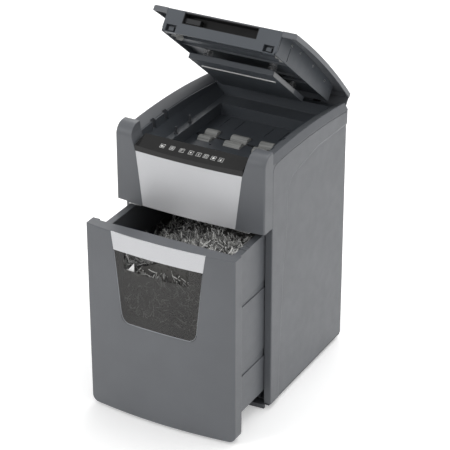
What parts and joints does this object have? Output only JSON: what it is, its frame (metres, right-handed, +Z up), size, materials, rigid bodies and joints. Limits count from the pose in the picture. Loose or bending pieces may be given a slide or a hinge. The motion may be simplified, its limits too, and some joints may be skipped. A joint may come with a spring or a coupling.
{
  "type": "paper shredder",
  "caption": "Upright office paper shredder with an arched flip-up lid over a sheet well, a sloping touch panel and a pull-out bin with a smoked window.",
  "frame": {"origin": "on the floor at the centre of the cabinet footprint, at the middle pad of its feet", "axes": "+Z up, front and drawer towards -Y, +X to the right of somebody facing the cabinet's front"},
  "size_m": [0.368, 0.5737, 0.8659],
  "materials": {
    "body_grey": "satin",
    "well_grey": "satin",
    "liner_grey": "matte",
    "silver": "satin",
    "gloss_black": "gloss",
    "smoked_window": "gloss",
    "roller_grey": "matte",
    "foot_rubber": "matte",
    "steel": "satin",
    "zinc": "gloss",
    "gear_nylon": "satin",
    "black_plastic": "matte",
    "board_green": "satin",
    "motor_paint": "satin",
    "white_plastic": "satin",
    "paper": "matte"
  },
  "bodies": {
    "cabinet": {"left_side_panel": "body_grey", "right_side_panel": "body_grey", "left_bay_liner": "liner_grey", "right_bay_liner": "liner_grey", "rear_panel": "body_grey", "cord_gland": "black_plastic", "rocker_housing": "black_plastic", "base_tray": "liner_grey", "feet": "foot_rubber", "drawer_rails": "liner_grey", "top_frame": "well_grey", "paper_tray": "well_grey", "well_pegs": "liner_grey", "left_pillar": "body_grey", "right_pillar": "body_grey", "fascia_panel": "silver", "control_panel": "gloss_black", "control_board": "board_green", "head_floor": "liner_grey", "left_cutter_plate": "steel", "right_cutter_plate": "steel", "cutter_bushes": "black_plastic", "tie_bars": "steel", "chassis_screws": "zinc", "stripper_combs": "black_plastic", "power_board": "board_green", "motor_can": "motor_paint", "latch_brackets": "zinc", "bin_switch": "black_plastic", "hinge_brackets": "black_plastic", "hinge_pins": "steel"},
    "power_rocker": {"power_rocker": "black_plastic"},
    "rear_cutter": {"cutter_rear": "steel", "rear_cutter_gears": "gear_nylon"},
    "front_cutter": {"cutter_front": "steel", "front_cutter_gears": "gear_nylon"},
    "idler": {"idler_gear": "gear_nylon"},
    "motor_rotor": {"motor_rotor": "steel"},
    "rear_feed": {"rear_feed_shaft": "gear_nylon", "rear_feed_rollers": "roller_grey"},
    "front_feed": {"front_feed_shaft": "gear_nylon", "front_feed_rollers": "roller_grey"},
    "lid": {"lid_shell": "body_grey", "lid_box": "well_grey", "lid_chute": "black_plastic", "lid_screws": "zinc", "lid_hinge_arms": "black_plastic", "lid_posts": "steel", "press_springs": "zinc"},
    "press_plate": {"press_plate": "well_grey", "press_strip": "white_plastic", "press_edges": "roller_grey"},
    "drawer": {"drawer_front": "body_grey", "silver_band": "silver", "bin_window": "smoked_window", "bin_tub": "body_grey", "bin_screws": "zinc", "bin_magnet": "zinc", "shredded_paper": "paper"}
  },
  "joints": [
    {"name": "lid_hinge", "type": "hinge", "parent": "cabinet", "child": "lid", "pos_m": [0, 0.186, 0.586], "axis": [1, 0, 0], "range_deg": [0, 39.2]},
    {"name": "press_plate_slide", "type": "slide", "parent": "lid", "child": "press_plate", "axis": [0, 0.632, 0.7749], "range_m": [0, 0.012], "stiffness_N_per_m": 400, "springref_m": -0.012, "deforming": ["press_springs"]},
    {"name": "drawer_slide", "type": "slide", "parent": "cabinet", "child": "drawer", "axis": [0, -1, 0], "range_m": [-0.129, 0.171]},
    {"name": "rear_cutter_spin", "type": "hinge", "parent": "cabinet", "child": "rear_cutter", "pos_m": [0, 0.0145, 0.505], "axis": [1, 0, 0], "continuous": true},
    {"name": "front_cutter_spin", "type": "hinge", "parent": "cabinet", "child": "front_cutter", "pos_m": [0, -0.0185, 0.505], "axis": [1, 0, 0], "continuous": true},
    {"name": "idler_spin", "type": "hinge", "parent": "cabinet", "child": "idler", "pos_m": [0, 0.0565, 0.505], "axis": [1, 0, 0], "continuous": true},
    {"name": "motor_spin", "type": "hinge", "parent": "cabinet", "child": "motor_rotor", "pos_m": [0, 0.0925, 0.505], "axis": [1, 0, 0], "continuous": true},
    {"name": "rear_feed_spin", "type": "hinge", "parent": "cabinet", "child": "rear_feed", "pos_m": [0, 0.015, 0.54345], "axis": [1, 0, 0], "continuous": true},
    {"name": "front_feed_spin", "type": "hinge", "parent": "cabinet", "child": "front_feed", "pos_m": [0, -0.019, 0.54345], "axis": [1, 0, 0], "continuous": true},
    {"name": "power_rocker_tilt", "type": "hinge", "parent": "cabinet", "child": "power_rocker", "pos_m": [-0.14, 0.178, 0.495], "axis": [1, 0, 0], "range_deg": [-14, 0]}
  ],
  "couplings": [
    {"joint": "front_cutter_spin", "follows": "rear_cutter_spin", "ratio": -1},
    {"joint": "idler_spin", "follows": "rear_cutter_spin", "ratio": -3.6667},
    {"joint": "motor_spin", "follows": "rear_cutter_spin", "ratio": 18.333},
    {"joint": "rear_feed_spin", "follows": "rear_cutter_spin", "ratio": 0.82143},
    {"joint": "front_feed_spin", "follows": "rear_cutter_spin", "ratio": -0.82143}
  ]
}
